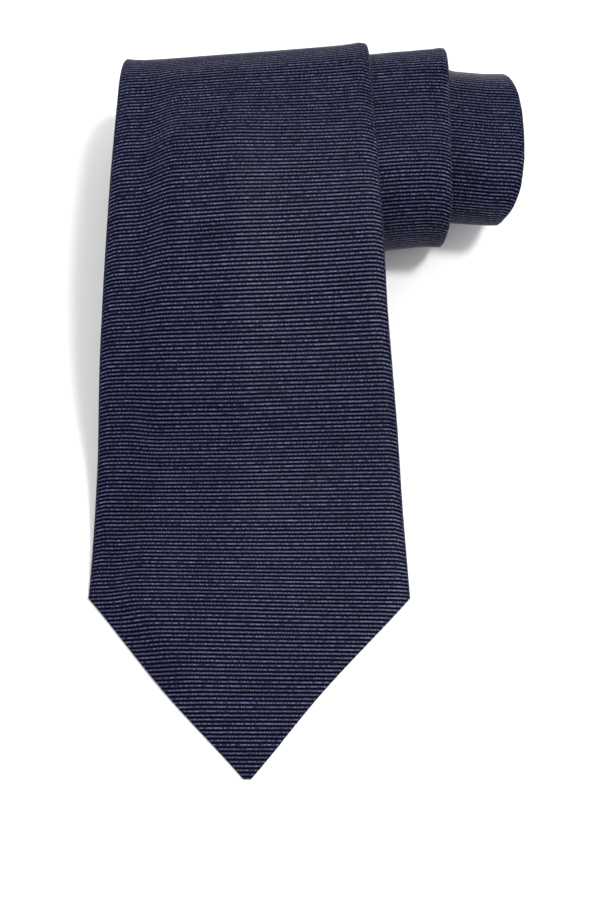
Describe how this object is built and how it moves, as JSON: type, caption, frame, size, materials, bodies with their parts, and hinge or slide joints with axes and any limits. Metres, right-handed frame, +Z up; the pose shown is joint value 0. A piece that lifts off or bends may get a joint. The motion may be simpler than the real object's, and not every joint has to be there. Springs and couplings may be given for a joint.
{
  "type": "necktie",
  "caption": "Ribbed navy silk necktie rolled up from its narrow end, with the pointed wide blade lying out in front of the telescoped roll.",
  "frame": {"origin": "on the table under the roll, on the centreline of the blade", "axes": "+Z up from the table, +Y from the blade's point towards the roll, +X across the blade towards the side the roll steps out to"},
  "size_m": [0.1204, 0.203, 0.039],
  "materials": {
    "ribbed_silk": "navy ribbed silk with a soft sheen",
    "interlining": "brushed off-white wool blend",
    "lining_satin": "plain dark navy satin",
    "thread": "navy sewing thread",
    "label_satin": "blank woven satin"
  },
  "bodies": {
    "outer_turn": {"outer_turn_shell": "ribbed_silk", "outer_turn_interlining": "interlining", "outer_turn_slip_stitch": "thread", "keeper_loop": "ribbed_silk", "keeper_loop_stitches": "thread", "blank_label": "label_satin", "blank_label_stitches": "thread"},
    "blade": {"blade_shell": "ribbed_silk", "blade_interlining": "interlining", "blade_slip_stitch": "thread"},
    "blade_tip": {"blade_tip_shell": "ribbed_silk", "blade_tip_interlining": "interlining", "blade_lining": "lining_satin", "blade_hem_stitches": "thread", "blade_bar_tack": "thread"},
    "second_turn": {"second_turn_shell": "ribbed_silk", "second_turn_interlining": "interlining", "second_turn_slip_stitch": "thread"},
    "coil": {"coil_blade_shell": "ribbed_silk", "neck_shell": "ribbed_silk", "tail_shell": "ribbed_silk", "coil_interlining": "interlining", "coil_slip_stitch": "thread", "tail_lining": "lining_satin", "blade_neck_seam": "thread", "neck_tail_seam": "thread"}
  },
  "joints": [
    {"name": "blade_lift", "type": "hinge", "parent": "outer_turn", "child": "blade", "pos_m": [0, -0.03498, 0.03688], "axis": [-1, 0, 0], "range_deg": [0, 70]},
    {"name": "tip_lift", "type": "hinge", "parent": "blade", "child": "blade_tip", "pos_m": [0, -0.09895, 0.00932], "axis": [-1, 0, 0], "range_deg": [0, 75]},
    {"name": "second_turn_slide", "type": "slide", "parent": "outer_turn", "child": "second_turn", "axis": [1, 0, 0], "range_m": [-0.006, 0.006]},
    {"name": "coil_slide", "type": "slide", "parent": "second_turn", "child": "coil", "axis": [1, 0, 0], "range_m": [-0.006, 0.006]}
  ]
}
